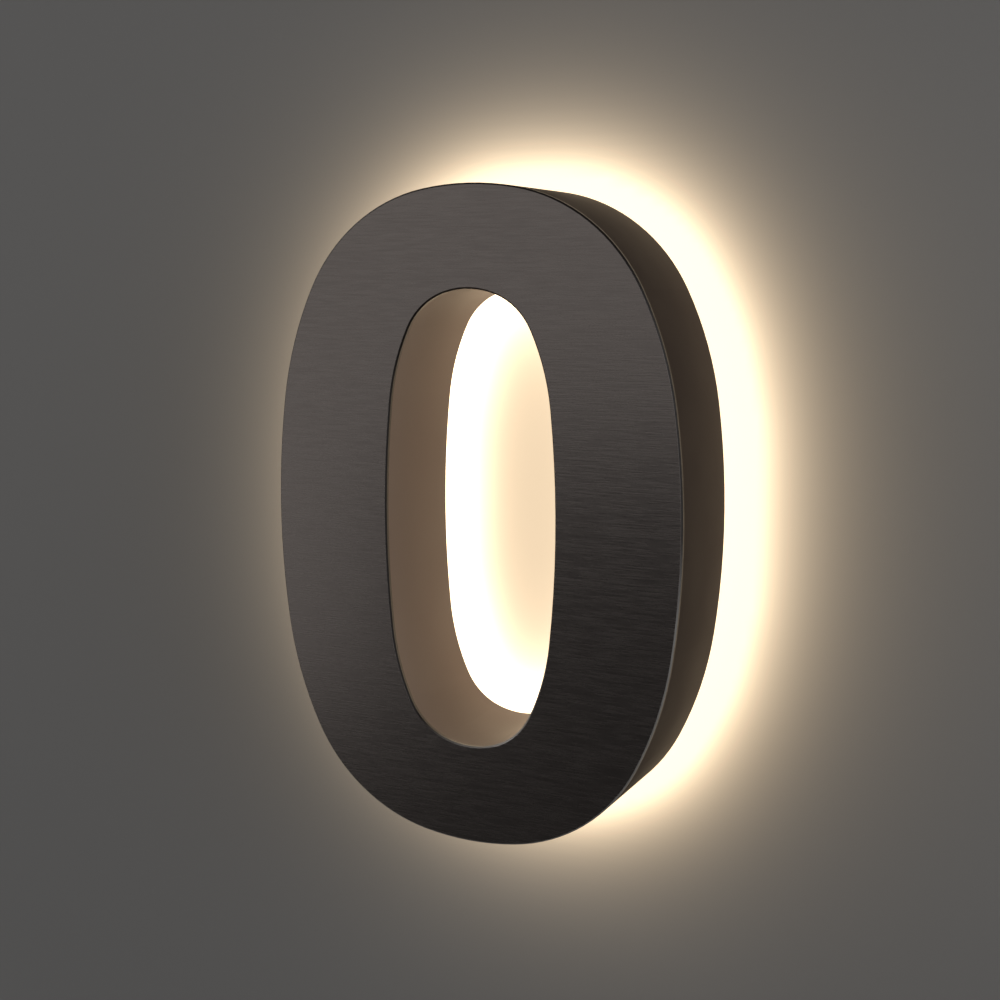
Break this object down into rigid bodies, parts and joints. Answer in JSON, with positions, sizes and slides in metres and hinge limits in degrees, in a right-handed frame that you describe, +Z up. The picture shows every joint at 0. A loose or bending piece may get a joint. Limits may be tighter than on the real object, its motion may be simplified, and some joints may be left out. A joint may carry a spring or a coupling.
{
  "type": "illuminated house number",
  "caption": "Halo-lit metal house number 0: a hollow bronze figure with an open counter on stand-off studs, lit from behind by LEDs",
  "frame": {"origin": "middle of the wall stud pattern, on the wall's surface", "axes": "+Z up, +X to the right as one reads the figure, +Y into the wall, so the figure faces -Y"},
  "size_m": [0.135, 0.076, 0.2],
  "materials": {
    "bronze_face": "horizontally brushed, dark bronze coated stainless steel",
    "bronze_return": "satin dark bronze",
    "stainless": "plain stainless steel",
    "opal_acrylic": "opal, lit warm white from inside",
    "spacer_nylon": "black nylon",
    "grommet_rubber": "black rubber",
    "module_shell": "white moulded plastic",
    "module_lens": "clear polycarbonate",
    "circuit_board": "white solder mask",
    "led_phosphor": "warm white LED",
    "foam_tape": "grey closed-cell foam tape",
    "lead_red": "red PVC",
    "lead_black": "black PVC",
    "end_cap": "white silicone",
    "terminal_body": "grey moulded plastic",
    "terminal_lever": "white moulded plastic"
  },
  "bodies": {
    "root": {"back_panel": "opal_acrylic", "cable_grommet": "grommet_rubber", "face_plate": "bronze_face", "inner_return": "bronze_return", "lead_end_caps": "end_cap", "led_board_1": "circuit_board", "led_board_2": "circuit_board", "led_board_3": "circuit_board", "led_board_4": "circuit_board", "led_board_5": "circuit_board", "led_board_6": "circuit_board", "led_board_7": "circuit_board", "led_board_8": "circuit_board", "led_chips": "led_phosphor", "led_housing_1": "module_shell", "led_housing_2": "module_shell", "led_housing_3": "module_shell", "led_housing_4": "module_shell", "led_housing_5": "module_shell", "led_housing_6": "module_shell", "led_housing_7": "module_shell", "led_housing_8": "module_shell", "led_lens_1": "module_lens", "led_lens_2": "module_lens", "led_lens_3": "module_lens", "led_lens_4": "module_lens", "led_lens_5": "module_lens", "led_lens_6": "module_lens", "led_lens_7": "module_lens", "led_lens_8": "module_lens", "module_leads_black": "lead_black", "module_leads_red": "lead_red", "module_tape_pads": "foam_tape", "outer_return": "bronze_return", "panel_clip_bottom": "stainless", "panel_clip_top": "stainless", "panel_screws": "stainless", "standoff_spacers": "spacer_nylon", "stud_pillar_1": "stainless", "stud_pillar_2": "stainless", "stud_pillar_3": "stainless", "stud_pillar_4": "stainless", "terminal_block_body": "terminal_body", "terminal_block_levers": "terminal_lever", "wall_studs": "stainless"}
  },
  "joints": []
}
